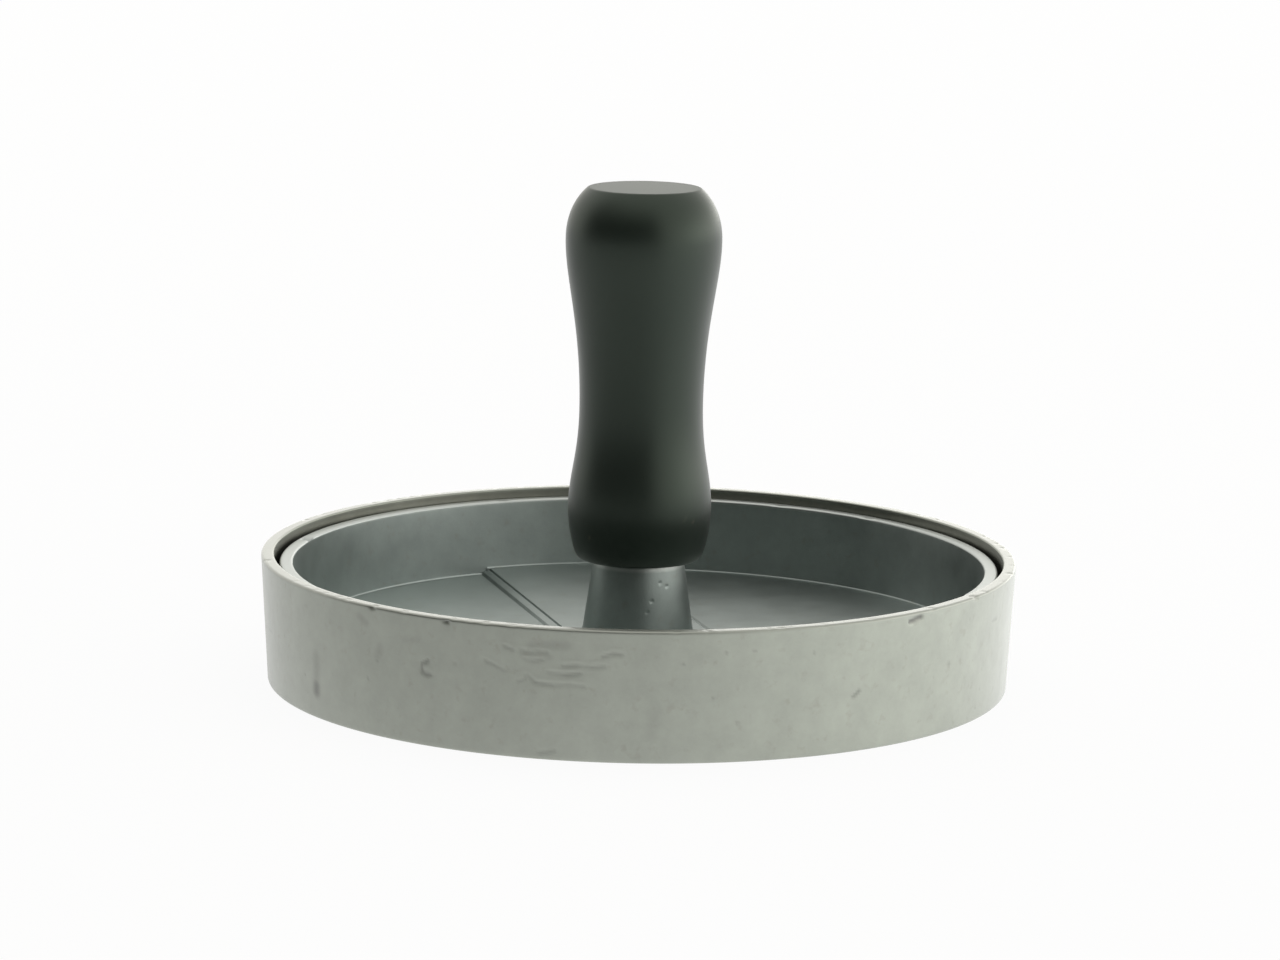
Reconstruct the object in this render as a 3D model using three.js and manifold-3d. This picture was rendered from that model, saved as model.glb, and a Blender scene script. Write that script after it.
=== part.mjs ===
// A burger press: an open mould ring, and a presser with an upright handle that drops into it.
// Millimetres, +Z up. The origin is the centre of the ring's foot, on the table.

import * as THREE from "three";
import { mergeVertices } from "three/addons/utils/BufferGeometryUtils.js";
import Module from "manifold-3d";

// Mould ring: a plain cast band, open above and below, that leans out a little towards its rim.
const RING_RIM_DIAMETER = 120;
const RING_HEIGHT = 20.2;
const RING_WALL = 2;
const RING_RIM_ROUND = 0.7;
const RING_FOOT_ROUND = 0.3;
const WALL_DRAFT = 3.1; // degrees, shared with the presser, so that the two nest

// Presser: a cast pan, whose wall follows the ring's.
const PRESSER_CLEARANCE = 0.8; // between presser and ring, on the radius
const PRESSER_RIM_DROP = 1.4; // from the ring's rim down to the presser's
const PRESSER_RIM_WIDTH = 2.1;
const PRESSER_RIM_ROUND = 0.7;
const PRESSER_HEEL_ROUND = 2;
const PAN_DRAFT = 4.5; // degrees, the pan's inner wall
const PAN_FILLET = 0.8;
const PLATE_THICKNESS = 4;

// Ridges under the plate, which score the meat in squares. The presser stands on their tips.
const RIDGE_HEIGHT = 2.6;
const RIDGE_ROOT_WIDTH = 3.4;
const RIDGE_TIP_WIDTH = 1.2;
const RIDGE_SPACING = 22;
const RIDGES_EACH_WAY = 4;
const RIDGE_END_MARGIN = 3; // from the ridges' ends to the plate's edge

// Stiffening band across the pan's floor: one low step on each side of the stem.
const BAND_WIDTH = 22.8;
const BAND_HEIGHT = 0.9;
const BAND_SLOPE = 0.6; // how far each step spreads at its foot

// Stem: the conical boss that carries the handle, clear of the rim.
const STEM_FOOT_DIAMETER = 18;
const STEM_TOP_DIAMETER = 14.4;
const STEM_ABOVE_RIM = 0.4; // from the presser's rim up to the stem's top
const STEM_FILLET = 0.6;
const STEM_TOP_ROUND = 0.4;

// Screwed joint between stem and handle, with a right-hand M6 thread.
const THREAD_DIAMETER = 6;
const THREAD_PITCH = 1;
const THREAD_DEPTH = 0.6;
const THREAD_CLEARANCE = 0.25; // from the thread's crest to what it runs in
const STUD_IN_STEM = 8;
const STUD_END_GAP = 2; // from the stud's upper end to the insert's
const STUD_CHAMFER = 0.7;
const HOLE_SPARE = 1.5; // left free under the stud
const DRILL_POINT_ANGLE = 118; // degrees, the end of the stem's hole
const WASHER_WIDTH = 2.65; // from its bore to its rim
const WASHER_THICKNESS = 1.6;
const WASHER_SLIT = 1.2;
const INSERT_WALL = 1.25;
const INSERT_LENGTH = 16;
const INSERT_GROOVE_WIDTH = 2.4;
const INSERT_GROOVE_DEPTH = 0.6;
const KNURL_TEETH = 24;
const KNURL_DEPTH = 0.4;
const FIT_GAP = 0.3; // round what sits in the handle, and under the handle's foot

// Handle, from its foot upwards. A rise is measured from the place named before it, a drop from the top.
const HANDLE_LENGTH = 59.2;
const HANDLE_FOOT_DIAMETER = 18.8;
const HANDLE_HEEL_DIAMETER = 21;
const HANDLE_HEEL_RISE = 1.7;
const HANDLE_BELLY_DIAMETER = 22.8;
const HANDLE_BELLY_RISE = 6.3;
const HANDLE_NECK_DIAMETER = 19.6;
const HANDLE_NECK_RISE = 16.5;
const HANDLE_HEAD_DIAMETER = 24.7;
const HANDLE_HEAD_DROP = 8.2;
const HANDLE_TOP_DIAMETER = 17.8;
const HANDLE_TOP_SLOPE = 40; // degrees, where the shoulder meets the flat top

// Fineness of the round faces.
const BODY_SIDES = 72;
const HANDLE_SIDES = 40;
const STUD_SIDES = 12;
const CORNER_STEPS = 2;
const CURVE_STEPS = 5;
const OVERLAP = 0.5; // how far a joined shape sinks into the body that it grows from
const ROUND_LIMIT = 0.45; // largest share of an edge that one rounded corner takes

// Places that follow from the sizes.
const wallLean = Math.tan(THREE.MathUtils.degToRad(WALL_DRAFT));
const panLean = Math.tan(THREE.MathUtils.degToRad(PAN_DRAFT));
const presserRim = RING_HEIGHT - PRESSER_RIM_DROP;
const plateUnderside = RIDGE_HEIGHT;
const panFloor = plateUnderside + PLATE_THICKNESS;
const panRimRadius = presserRadius(presserRim) - PRESSER_RIM_WIDTH;
const panFloorRadius = panRimRadius - (presserRim - panFloor) * panLean;
const stemTop = presserRim + STEM_ABOVE_RIM;
const handleFoot = stemTop + FIT_GAP;
const washerTop = stemTop + WASHER_THICKNESS;
const threadRadius = THREAD_DIAMETER / 2;
const threadBore = threadRadius + THREAD_CLEARANCE;
const washerRadius = threadBore + WASHER_WIDTH;
const insertRadius = threadBore + INSERT_WALL;
const insertTop = washerTop + INSERT_LENGTH;

const wasm = await Module();
wasm.setup();

function ringRadius(height) {
  return RING_RIM_DIAMETER / 2 - (RING_HEIGHT - height) * wallLean;
}

function presserRadius(height) {
  return ringRadius(height) - RING_WALL - PRESSER_CLEARANCE;
}

// A path through corners of radius and height. A third number rounds the corner, cut back by that much.
function roundedProfile(corners, closed) {
  const path = new THREE.Path();
  const count = corners.length;
  corners.forEach(([radius, height, round = 0], i) => {
    const corner = new THREE.Vector2(radius, height);
    const before = new THREE.Vector2(...corners[(i + count - 1) % count]).sub(corner);
    const after = new THREE.Vector2(...corners[(i + 1) % count]).sub(corner);
    const cut = Math.min(round, ROUND_LIMIT * before.length(), ROUND_LIMIT * after.length());
    const start = before.setLength(cut).add(corner);
    const end = after.setLength(cut).add(corner);
    if (i === 0) {
      path.moveTo(start.x, start.y);
    } else {
      path.lineTo(start.x, start.y);
    }
    if (round > 0) {
      path.quadraticCurveTo(corner.x, corner.y, end.x, end.y);
    }
  });
  if (closed) {
    path.closePath();
  }
  return path;
}

// A profile turned about +Z.
function turned(path, sides, steps = CORNER_STEPS) {
  const geometry = new THREE.LatheGeometry(path.getPoints(steps), sides);
  return geometry.rotateX(Math.PI / 2);
}

// A section of width and height, drawn out along Y.
function bar(section, length) {
  const geometry = new THREE.ExtrudeGeometry(section, { depth: length, bevelEnabled: false });
  return geometry.translate(0, 0, -length / 2).rotateX(Math.PI / 2);
}

function disc(radius, bottom, top) {
  return turned(roundedProfile([[0, bottom], [radius, bottom], [radius, top], [0, top]]), BODY_SIDES);
}

// A closed solid for joins and cuts, without the flat triangles that turning leaves on the axis.
function toSolid(geometry) {
  const bare = geometry.clone();
  bare.deleteAttribute("normal");
  bare.deleteAttribute("uv");
  const merged = mergeVertices(bare);
  const corners = merged.index.array;
  const triangles = [];
  for (let i = 0; i < corners.length; i += 3) {
    const [a, b, c] = corners.subarray(i, i + 3);
    if (a !== b && b !== c && c !== a) {
      triangles.push(a, b, c);
    }
  }
  const vertProperties = merged.attributes.position.array;
  const triVerts = Uint32Array.from(triangles);
  return new wasm.Manifold(new wasm.Mesh({ numProp: 3, vertProperties, triVerts }));
}

function toGeometry(solid) {
  const mesh = solid.getMesh();
  const geometry = new THREE.BufferGeometry();
  geometry.setAttribute("position", new THREE.BufferAttribute(mesh.vertProperties, 3));
  geometry.setIndex(new THREE.BufferAttribute(mesh.triVerts, 1));
  geometry.computeVertexNormals();
  return geometry;
}

function mouldRing() {
  const corners = [
    [ringRadius(0) - RING_WALL, 0, RING_FOOT_ROUND],
    [ringRadius(0), 0, RING_FOOT_ROUND],
    [ringRadius(RING_HEIGHT), RING_HEIGHT, RING_RIM_ROUND],
    [ringRadius(RING_HEIGHT) - RING_WALL, RING_HEIGHT, RING_RIM_ROUND],
  ];
  return turned(roundedProfile(corners, true), BODY_SIDES);
}

// The pan and its stem, as turned: plate, wall, floor and boss.
function panBody() {
  const corners = [
    [0, plateUnderside],
    [presserRadius(plateUnderside), plateUnderside, PRESSER_HEEL_ROUND],
    [presserRadius(presserRim), presserRim, PRESSER_RIM_ROUND],
    [panRimRadius, presserRim, PRESSER_RIM_ROUND],
    [panFloorRadius, panFloor, PAN_FILLET],
    [STEM_FOOT_DIAMETER / 2, panFloor, STEM_FILLET],
    [STEM_TOP_DIAMETER / 2, stemTop, STEM_TOP_ROUND],
    [0, stemTop],
  ];
  return toSolid(turned(roundedProfile(corners), BODY_SIDES));
}

// Two crossed sets of ridges, cut to a round field inside the plate's edge.
function scoringRidges() {
  const fieldRadius = presserRadius(plateUnderside) - RIDGE_END_MARGIN;
  const section = new THREE.Shape();
  section.moveTo(-RIDGE_TIP_WIDTH / 2, 0);
  section.lineTo(RIDGE_TIP_WIDTH / 2, 0);
  section.lineTo(RIDGE_ROOT_WIDTH / 2, plateUnderside);
  section.lineTo(RIDGE_ROOT_WIDTH / 2, plateUnderside + OVERLAP);
  section.lineTo(-RIDGE_ROOT_WIDTH / 2, plateUnderside + OVERLAP);
  section.lineTo(-RIDGE_ROOT_WIDTH / 2, plateUnderside);
  const ridges = [];
  for (let i = 0; i < RIDGES_EACH_WAY; i += 1) {
    const offset = (i - (RIDGES_EACH_WAY - 1) / 2) * RIDGE_SPACING;
    const ridge = bar(section, 2 * fieldRadius).translate(offset, 0, 0);
    ridges.push(toSolid(ridge));
    ridges.push(toSolid(ridge.clone().rotateZ(Math.PI / 2)));
  }
  const grid = ridges.reduce((joined, ridge) => joined.add(ridge));
  return grid.intersect(toSolid(disc(fieldRadius, -OVERLAP, plateUnderside + 2 * OVERLAP)));
}

// The raised band runs along Y from wall to wall, under the stem.
function stiffeningBand() {
  const topHalf = BAND_WIDTH / 2;
  const footHalf = topHalf + BAND_SLOPE;
  const bandTop = panFloor + BAND_HEIGHT;
  const section = new THREE.Shape();
  section.moveTo(-footHalf, panFloor - OVERLAP);
  section.lineTo(footHalf, panFloor - OVERLAP);
  section.lineTo(footHalf, panFloor);
  section.lineTo(topHalf, bandTop);
  section.lineTo(-topHalf, bandTop);
  section.lineTo(-footHalf, panFloor);
  const reach = panFloorRadius + PRESSER_RIM_WIDTH / 2;
  const band = toSolid(bar(section, 2 * reach));
  return band.intersect(toSolid(disc(reach, panFloor - 2 * OVERLAP, bandTop + OVERLAP)));
}

// The tapped hole in the stem, with the point that a drill leaves.
function stemHole() {
  const holeEnd = stemTop - STUD_IN_STEM - HOLE_SPARE;
  const pointDepth = threadBore / Math.tan(THREE.MathUtils.degToRad(DRILL_POINT_ANGLE / 2));
  const corners = [
    [0, holeEnd - pointDepth],
    [threadBore, holeEnd],
    [threadBore, stemTop + OVERLAP],
    [0, stemTop + OVERLAP],
  ];
  return toSolid(turned(roundedProfile(corners), STUD_SIDES));
}

function presser() {
  const casting = panBody().add(scoringRidges()).add(stiffeningBand());
  return toGeometry(casting.subtract(stemHole()));
}

// A flat split ring, as it lies when the handle is tight.
function springWasher() {
  const outerHalfSlit = Math.asin(WASHER_SLIT / 2 / washerRadius);
  const innerHalfSlit = Math.asin(WASHER_SLIT / 2 / threadBore);
  const shape = new THREE.Shape();
  shape.absarc(0, 0, washerRadius, outerHalfSlit, 2 * Math.PI - outerHalfSlit, false);
  shape.absarc(0, 0, threadBore, 2 * Math.PI - innerHalfSlit, innerHalfSlit, true);
  const options = { depth: WASHER_THICKNESS, bevelEnabled: false, curveSegments: STUD_SIDES };
  return new THREE.ExtrudeGeometry(shape, options).translate(0, 0, stemTop);
}

// The stud's radius: thread, then chamfer, then the flat end, where rows past the end draw in to the axis.
function studRadius(threadSurface, pastEnd) {
  const endRadius = threadRadius - STUD_CHAMFER;
  const longestPastEnd = 5 * THREAD_PITCH;
  const limit = pastEnd < 0 ? endRadius - pastEnd : endRadius * (1 - pastEnd / longestPastEnd);
  return Math.min(threadSurface, limit);
}

// A helical thread on a solid core. Root and crest rows climb one pitch in each turn, so one step past
// the last side is the first side, one pitch higher. The first and last rows lie past the stud's ends.
function handleStud() {
  const bottom = stemTop - STUD_IN_STEM;
  const top = insertTop - STUD_END_GAP;
  const numbersPerPoint = 3;
  const rowsPerPitch = 2;
  const pitchesBelow = 1.5;
  const pitchesAbove = 0.5;
  const rows = Math.ceil((top - bottom) / THREAD_PITCH + pitchesBelow + pitchesAbove) * rowsPerPitch;
  const points = [];
  for (let row = 0; row <= rows + rowsPerPitch; row += 1) {
    const threadSurface = row % rowsPerPitch === 0 ? threadRadius - THREAD_DEPTH : threadRadius;
    for (let side = 0; side < STUD_SIDES; side += 1) {
      const turn = side / STUD_SIDES;
      const angle = 2 * Math.PI * turn;
      const height = bottom + (row / rowsPerPitch + turn - pitchesBelow) * THREAD_PITCH;
      const radius = studRadius(threadSurface, Math.max(bottom - height, height - top));
      points.push(radius * Math.cos(angle), radius * Math.sin(angle));
      points.push(THREE.MathUtils.clamp(height, bottom, top));
    }
  }
  const at = (row, side) => (side < STUD_SIDES ? row * STUD_SIDES + side : (row + rowsPerPitch) * STUD_SIDES);
  const triangles = [];
  for (let row = 0; row < rows; row += 1) {
    for (let side = 0; side < STUD_SIDES; side += 1) {
      triangles.push(at(row, side), at(row, side + 1), at(row + 1, side + 1));
      triangles.push(at(row, side), at(row + 1, side + 1), at(row + 1, side));
    }
  }
  // A fan closes the middle of each end: round one turn of the row, then back along its step.
  const closeEnd = (row, height, facesDown) => {
    const centre = points.length / numbersPerPoint;
    points.push(0, 0, height);
    const rim = [];
    for (let side = 0; side <= STUD_SIDES; side += 1) {
      rim.push(at(row, side));
    }
    for (let step = rowsPerPitch - 1; step >= 0; step -= 1) {
      rim.push(at(row + step, 0));
    }
    for (let i = 0; i + 1 < rim.length; i += 1) {
      const [a, b] = facesDown ? [rim[i + 1], rim[i]] : [rim[i], rim[i + 1]];
      triangles.push(centre, a, b);
    }
  };
  closeEnd(0, bottom, true);
  closeEnd(rows, top, false);
  const geometry = new THREE.BufferGeometry();
  geometry.setAttribute("position", new THREE.Float32BufferAttribute(points, numbersPerPoint));
  geometry.setIndex(triangles);
  return geometry;
}

// A knurled tube with one groove round its middle, which keeps it from turning or pulling out.
function threadInsert() {
  const outline = new THREE.Shape();
  for (let i = 0; i < 2 * KNURL_TEETH; i += 1) {
    const angle = (i / KNURL_TEETH) * Math.PI;
    const radius = i % 2 === 0 ? insertRadius : insertRadius - KNURL_DEPTH;
    if (i === 0) {
      outline.moveTo(radius, 0);
    } else {
      outline.lineTo(radius * Math.cos(angle), radius * Math.sin(angle));
    }
  }
  outline.holes.push(new THREE.Path().absarc(0, 0, threadBore, 0, 2 * Math.PI, true));
  const options = { depth: INSERT_LENGTH, bevelEnabled: false, curveSegments: STUD_SIDES };
  const tube = new THREE.ExtrudeGeometry(outline, options).translate(0, 0, washerTop);
  const middle = washerTop + INSERT_LENGTH / 2;
  const grooveCorners = [
    [insertRadius - INSERT_GROOVE_DEPTH, middle - INSERT_GROOVE_WIDTH / 2],
    [insertRadius + OVERLAP, middle - INSERT_GROOVE_WIDTH / 2],
    [insertRadius + OVERLAP, middle + INSERT_GROOVE_WIDTH / 2],
    [insertRadius - INSERT_GROOVE_DEPTH, middle + INSERT_GROOVE_WIDTH / 2],
  ];
  const groove = toSolid(turned(roundedProfile(grooveCorners, true), KNURL_TEETH));
  return toGeometry(toSolid(tube).subtract(groove));
}

// The handle's outline runs from the end of its pocket, round the foot, up the grip to the flat top.
function handle() {
  const pocketRadius = insertRadius + FIT_GAP;
  const recessRadius = washerRadius + FIT_GAP;
  const heel = handleFoot + HANDLE_HEEL_RISE;
  const belly = heel + HANDLE_BELLY_RISE;
  const neck = belly + HANDLE_NECK_RISE;
  const top = handleFoot + HANDLE_LENGTH;
  const head = top - HANDLE_HEAD_DROP;
  const footRadius = HANDLE_FOOT_DIAMETER / 2;
  const heelRadius = HANDLE_HEEL_DIAMETER / 2;
  const bellyRadius = HANDLE_BELLY_DIAMETER / 2;
  const neckRadius = HANDLE_NECK_DIAMETER / 2;
  const headRadius = HANDLE_HEAD_DIAMETER / 2;
  const topRadius = HANDLE_TOP_DIAMETER / 2;
  const shoulderRadius = (headRadius + topRadius) / 2;
  const shoulder = top - (shoulderRadius - topRadius) * Math.tan(THREE.MathUtils.degToRad(HANDLE_TOP_SLOPE));
  const path = new THREE.Path();
  path.moveTo(0, insertTop + FIT_GAP);
  path.lineTo(pocketRadius, insertTop + FIT_GAP);
  path.lineTo(pocketRadius, washerTop);
  path.lineTo(recessRadius, washerTop);
  path.lineTo(recessRadius, handleFoot);
  path.lineTo(footRadius, handleFoot);
  path.quadraticCurveTo((footRadius + heelRadius) / 2, handleFoot, heelRadius, heel);
  path.bezierCurveTo(heelRadius, heel, bellyRadius, (heel + belly) / 2, bellyRadius, belly);
  path.bezierCurveTo(bellyRadius, (2 * belly + neck) / 3, neckRadius, (belly + neck) / 2, neckRadius, neck);
  path.bezierCurveTo(neckRadius, (neck + head) / 2, headRadius, (neck + 3 * head) / 4, headRadius, head);
  path.bezierCurveTo(headRadius, (head + top) / 2, shoulderRadius, shoulder, topRadius, top);
  path.lineTo(0, top);
  return turned(path, HANDLE_SIDES, CURVE_STEPS);
}

function castAluminium(color, roughness) {
  return new THREE.MeshStandardMaterial({ color, roughness, metalness: 1 });
}

function addPiece(press, name, geometry, material) {
  const piece = new THREE.Mesh(geometry, material);
  piece.name = name;
  press.add(piece);
}

const blackMoulding = new THREE.MeshStandardMaterial({ color: 0x24272a, roughness: 0.42, metalness: 0 });
const brass = new THREE.MeshStandardMaterial({ color: 0xc9a24f, roughness: 0.35, metalness: 1 });
const zincSteel = new THREE.MeshStandardMaterial({ color: 0xb9bcc0, roughness: 0.3, metalness: 1 });
const springSteel = new THREE.MeshStandardMaterial({ color: 0x6d7074, roughness: 0.4, metalness: 1 });

const burgerPress = new THREE.Group();
addPiece(burgerPress, "mould_ring", mouldRing(), castAluminium(0xb2b5b2, 0.5));
addPiece(burgerPress, "presser", presser(), castAluminium(0x9aa2a6, 0.42));
addPiece(burgerPress, "spring_washer", springWasher(), springSteel);
addPiece(burgerPress, "handle_stud", handleStud(), zincSteel);
addPiece(burgerPress, "thread_insert", threadInsert(), brass);
addPiece(burgerPress, "handle", handle(), blackMoulding);

export default burgerPress;
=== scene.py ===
# %% [markdown]
# # A burger press
# The press is a plain cast ring, a presser pan that drops into it, and a black waisted handle that
# is screwed on the pan's stem. The CAD model fixes every size and every joint. This lesson gives
# each piece its finer shape and its finish, and then sets up the camera and the light of a studio
# picture.

# %% Load the frame
import math
import random

import bpy
import numpy as np
from mathutils import Matrix, Vector


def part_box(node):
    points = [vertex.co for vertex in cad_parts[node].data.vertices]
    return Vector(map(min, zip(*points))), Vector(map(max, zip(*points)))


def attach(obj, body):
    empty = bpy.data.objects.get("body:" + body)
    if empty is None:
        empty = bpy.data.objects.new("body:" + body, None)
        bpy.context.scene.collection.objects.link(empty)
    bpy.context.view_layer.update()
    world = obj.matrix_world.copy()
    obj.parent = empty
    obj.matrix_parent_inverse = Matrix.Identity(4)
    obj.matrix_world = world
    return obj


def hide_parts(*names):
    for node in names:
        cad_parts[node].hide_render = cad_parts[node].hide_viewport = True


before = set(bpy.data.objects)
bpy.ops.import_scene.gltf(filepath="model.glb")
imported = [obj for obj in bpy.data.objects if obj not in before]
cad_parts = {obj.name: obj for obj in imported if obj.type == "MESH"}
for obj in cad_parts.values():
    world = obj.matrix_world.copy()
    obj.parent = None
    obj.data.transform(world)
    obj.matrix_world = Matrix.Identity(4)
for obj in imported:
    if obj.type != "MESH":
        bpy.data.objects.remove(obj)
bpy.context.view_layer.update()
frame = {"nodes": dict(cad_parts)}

MM = 0.001

# %% [markdown]
# ## Turned pieces
# The ring, the pan, the handle and the small parts of the screwed joint are all round. A lathe
# hand or a pattern maker starts such a piece from its profile, and so does this lesson: one vertex
# is extruded from corner to corner, and single corners are then rounded. A cylinder that is scaled
# and extruded would do too, but a profile keeps every radius in plain sight.

# %% Tools for outlines
# Vertices closer than this are merged, and places closer than this are the same, both in mm.
MERGE = 0.001
TOUCH = 0.01


def deselect_all():
    bpy.ops.object.select_all(action="DESELECT")
    bpy.context.view_layer.objects.active = None


def take(piece):
    """Makes the piece the only selected and active object."""
    deselect_all()
    piece.select_set(True)
    bpy.context.view_layer.objects.active = piece


def trace(name, corners, closed=False):
    """An outline through corners of radius and height in mm, left in edit mode."""
    deselect_all()
    bpy.ops.mesh.primitive_plane_add(size=MM)
    piece = bpy.context.object
    piece.name = piece.data.name = name
    bpy.ops.object.mode_set(mode="EDIT")
    bpy.ops.mesh.select_mode(type="VERT")
    bpy.ops.mesh.merge(type="CENTER")
    places = [Vector((radius, 0, height)) * MM for radius, height in corners]
    if closed:
        places.append(places[0])
    bpy.ops.transform.translate(value=places[0])
    for here, there in zip(places, places[1:]):
        bpy.ops.mesh.extrude_vertices_move(TRANSFORM_OT_translate={"value": there - here})
    bpy.ops.mesh.select_all(action="SELECT")
    bpy.ops.mesh.remove_doubles(threshold=MERGE * MM)
    return piece


def pick(piece, wanted):
    """Selects the vertices whose place in mm passes the test, in edit mode."""
    bpy.ops.mesh.select_all(action="DESELECT")
    bpy.ops.object.mode_set(mode="OBJECT")
    chosen = [bool(wanted(vertex.co / MM)) for vertex in piece.data.vertices]
    piece.data.vertices.foreach_set("select", chosen)
    bpy.ops.object.mode_set(mode="EDIT")


def round_corner(piece, corner, cut, segments):
    """Rounds one corner of an outline, cut back by that many mm along both its edges."""
    radius, height = corner
    pick(piece, lambda place: math.hypot(place.x - radius, place.z - height) < TOUCH)
    bpy.ops.mesh.bevel(
        offset_type="ABSOLUTE", offset=cut * MM, segments=segments, affect="VERTICES"
    )


def split_edge(piece, start, end, cuts):
    """Gives the outline's edge between two places that many new vertices."""
    line = (Vector(end) - Vector(start)).normalized()

    def on_edge(place):
        offset = Vector((place.x, place.z)) - Vector(start)
        return abs(offset.cross(line)) < TOUCH

    pick(piece, on_edge)
    bpy.ops.mesh.subdivide(number_cuts=cuts)


print("CAD pieces:", ", ".join(frame["nodes"]))

# %% [markdown]
# An outline becomes a body by turning it about the upright axis. The Screw modifier does that,
# because the Spin operator is slow with hundreds of steps. The turned mesh has doubled vertices
# where its two ends meet and where it touches the axis. They are merged, and then all faces are
# turned outwards.

# %% Tools for turning
def apply_modifier(piece, kind, **settings):
    take(piece)
    modifier = piece.modifiers.new(kind.lower(), kind)
    for setting, value in settings.items():
        setattr(modifier, setting, value)
    bpy.ops.object.modifier_apply(modifier=modifier.name)


def clean_up(piece):
    """Merges doubled vertices and turns all faces outwards."""
    take(piece)
    bpy.ops.object.mode_set(mode="EDIT")
    bpy.ops.mesh.select_all(action="SELECT")
    bpy.ops.mesh.remove_doubles(threshold=MERGE * MM)
    bpy.ops.mesh.normals_make_consistent(inside=False)
    bpy.ops.object.mode_set(mode="OBJECT")


def turn(piece, steps):
    """Turns the outline about +Z into a closed body."""
    bpy.ops.object.mode_set(mode="OBJECT")
    apply_modifier(
        piece, "SCREW", angle=2 * math.pi, screw_offset=0, steps=steps, render_steps=steps,
        use_merge_vertices=True, merge_threshold=MERGE * MM,
    )
    clean_up(piece)


print("turned pieces are merged at", MERGE, "mm")

# %% [markdown]
# A finished piece stands for one node of the CAD model. It hides the node and moves with the
# node's body. Before that it is shaded smooth. Smoothing all its edges alike would blur the
# corners, so edges past an angle stay sharp, and weighted normals keep flat faces flat right up
# to their roundings.

# %% Tools for finished pieces
SHARP_ANGLE = 40


def smooth(piece):
    take(piece)
    bpy.ops.object.shade_smooth_by_angle(angle=math.radians(SHARP_ANGLE))
    apply_modifier(piece, "WEIGHTED_NORMAL", keep_sharp=True)


def dress(piece, node, body):
    """The piece stands for a CAD node and moves with its body."""
    smooth(piece)
    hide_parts(node)
    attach(piece, body)
    piece.data.calc_loop_triangles()
    size = [round(x / MM, 2) for x in piece.dimensions]
    triangles = len(piece.data.loop_triangles)
    print(piece.name, "stands for", node, size, "mm,", triangles, "triangles")


# %% [markdown]
# ## Mould ring
# The ring is a casting that leans out slightly, so that it leaves its mould. Its rim and foot are
# only just rounded. A cylinder primitive with a Solidify modifier could make it too, but would not
# round the four corners each in its own way. Its outer wall and rim get many rows of faces,
# because a casting is never quite smooth, and the next steps press its faults into the mesh.

# %% Ring profile
RING_RIM_RADIUS = 60.0
RING_HEIGHT = 20.2
RING_WALL = 2.0
WALL_LEAN = math.tan(math.radians(3.1))
ring_foot_radius = RING_RIM_RADIUS - RING_HEIGHT * WALL_LEAN
foot_outside = (ring_foot_radius, 0)
foot_inside = (ring_foot_radius - RING_WALL, 0)
rim_outside = (RING_RIM_RADIUS, RING_HEIGHT)
rim_inside = (RING_RIM_RADIUS - RING_WALL, RING_HEIGHT)

ring_corners = [foot_inside, foot_outside, rim_outside, rim_inside]
ring = trace("mould_ring_casting", ring_corners, closed=True)
round_corner(ring, foot_inside, cut=0.3, segments=2)
round_corner(ring, foot_outside, cut=0.3, segments=3)
round_corner(ring, rim_outside, cut=0.4, segments=5)
round_corner(ring, rim_inside, cut=0.25, segments=4)
split_edge(ring, foot_outside, rim_outside, cuts=55)
split_edge(ring, foot_inside, rim_inside, cuts=5)
split_edge(ring, rim_outside, rim_inside, cuts=4)
turn(ring, steps=1000)
print("ring vertices:", len(ring.data.vertices))

# %% [markdown]
# Where molten metal met metal that had already set, it left cold folds: short level wrinkles with
# a raised lip. There are also pits, a blister, and nicks from use along the rim. Sculpting would
# be one way to make them. Here each mark is a stroke on the wall, given by angle and height. The
# strokes become the weights of a vertex group, and a Displace modifier presses the group into the
# wall or lifts it.

# %% Tools for marks
# The wall is laid out flat from this angle on, in degrees.
SEAM = -170


def stroke_depths(places, strokes):
    """How deep each place lies in the strokes of two ends, half a width and a depth, in mm."""
    depths = np.zeros(len(places))
    for start, end, half_width, depth in strokes:
        start, along = np.array(start), np.array(end) - np.array(start)
        share = np.clip((places - start) @ along / max(along @ along, 1e-9), 0, 1)
        away = np.linalg.norm(places - start - share[:, None] * along, axis=1) / half_width
        depths = np.maximum(depths, depth * np.clip(1 - away**2, 0, 1) ** 2)
    return depths


def unrolled(piece, radius):
    """Each vertex's arc and height in mm, as if the wall of that radius were laid out flat."""
    places = np.zeros(3 * len(piece.data.vertices))
    piece.data.vertices.foreach_get("co", places)
    x, y, z = places.reshape(-1, 3).T / MM
    angle = np.degrees(np.arctan2(y, x))
    arc = np.radians(np.where(angle < SEAM, angle + 360, angle)) * radius
    return np.column_stack((arc, z)), np.hypot(x, y)


def on_wall(strokes, radius):
    """Strokes in degrees and mm, laid out flat in mm."""
    return [
        ((math.radians(a0) * radius, h0), (math.radians(a1) * radius, h1), half_width, depth)
        for (a0, h0), (a1, h1), half_width, depth in strokes
    ]


def press(piece, depths, outwards=False):
    """Presses each vertex in by its depth in mm, or lifts it out."""
    deepest = depths.max()
    group = piece.vertex_groups.new(name="marks")
    for index in np.nonzero(depths > 0)[0]:
        group.add([int(index)], float(depths[index] / deepest), "REPLACE")
    strength = deepest * MM if outwards else -deepest * MM
    apply_modifier(piece, "DISPLACE", vertex_group=group.name, strength=strength, mid_level=0)
    piece.vertex_groups.clear()
    print(piece.name, int((depths > 0).sum()), "vertices moved, at most", round(deepest, 2), "mm")


wall, radius = unrolled(ring, RING_RIM_RADIUS)
outer = radius > ring_foot_radius + wall[:, 1] * WALL_LEAN - RING_WALL / 2
print("vertices on the ring's outer side:", int(outer.sum()))

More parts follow.
